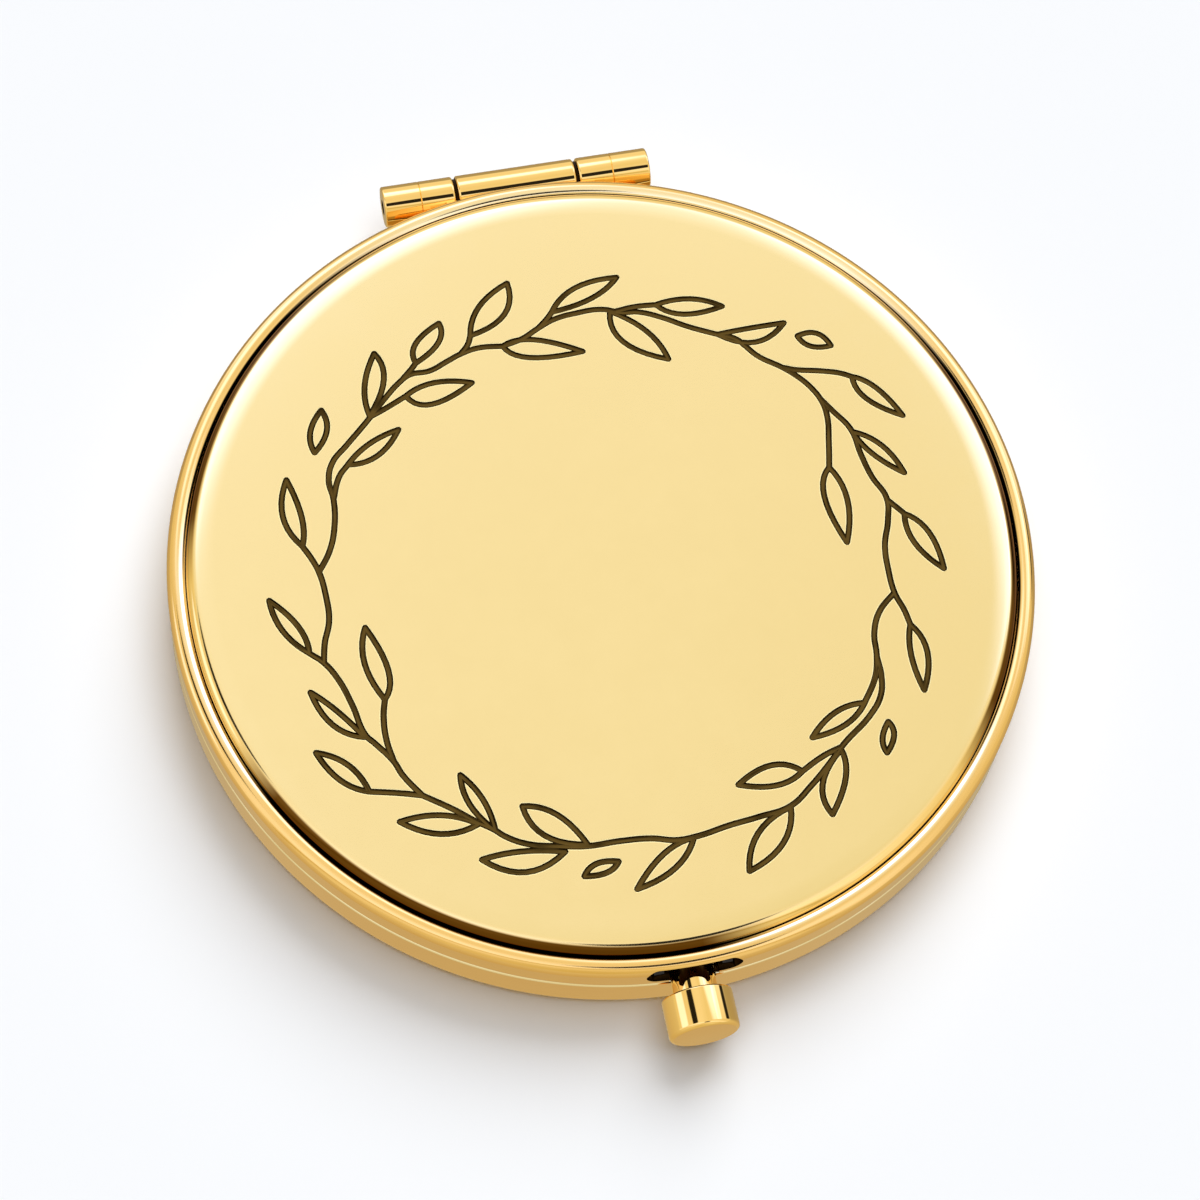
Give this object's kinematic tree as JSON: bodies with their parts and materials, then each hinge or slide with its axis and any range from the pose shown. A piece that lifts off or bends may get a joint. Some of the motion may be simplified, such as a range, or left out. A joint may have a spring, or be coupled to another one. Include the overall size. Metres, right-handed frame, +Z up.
{
  "type": "compact mirror",
  "caption": "Round hinged pocket compact with a flat and a magnifying mirror, a barrel hinge and a sprung push-button latch.",
  "frame": {"origin": "middle of the flat underside that the closed compact rests on", "axes": "+Z up through the closed lid, +Y towards the hinge, -Y towards the push button"},
  "size_m": [0.065, 0.0718, 0.0074],
  "materials": {
    "gold_plate": "polished",
    "mirror_glass": "polished",
    "steel": "satin",
    "felt": "matte"
  },
  "bodies": {
    "base": {"base_frame": "gold_plate", "base_cover": "gold_plate", "base_bezel": "gold_plate", "base_mirror": "mirror_glass", "base_mirror_pad": "felt", "base_knuckle_left": "gold_plate", "base_knuckle_right": "gold_plate", "hinge_cap_left": "gold_plate", "hinge_cap_right": "gold_plate", "hinge_pin": "steel", "button_tube": "gold_plate", "button_spring": "steel"},
    "lid": {"lid_frame": "gold_plate", "lid_cover": "gold_plate", "lid_bezel": "gold_plate", "lid_mirror": "mirror_glass", "lid_mirror_pad": "felt", "lid_knuckle": "gold_plate"},
    "button": {"button_cap": "gold_plate", "button_shaft": "steel", "latch_plate": "steel", "shaft_clip": "steel"}
  },
  "joints": [
    {"name": "lid_hinge", "type": "hinge", "parent": "base", "child": "lid", "pos_m": [0, 0.0336, 0.0042], "axis": [-1, 0, 0], "range_deg": [0, 180]},
    {"name": "button_push", "type": "slide", "parent": "base", "child": "button", "axis": [0, 1, 0], "range_m": [0, 0.0009], "stiffness_N_per_m": 1500, "springref_m": -0.0007, "deforming": ["button_spring"]}
  ]
}
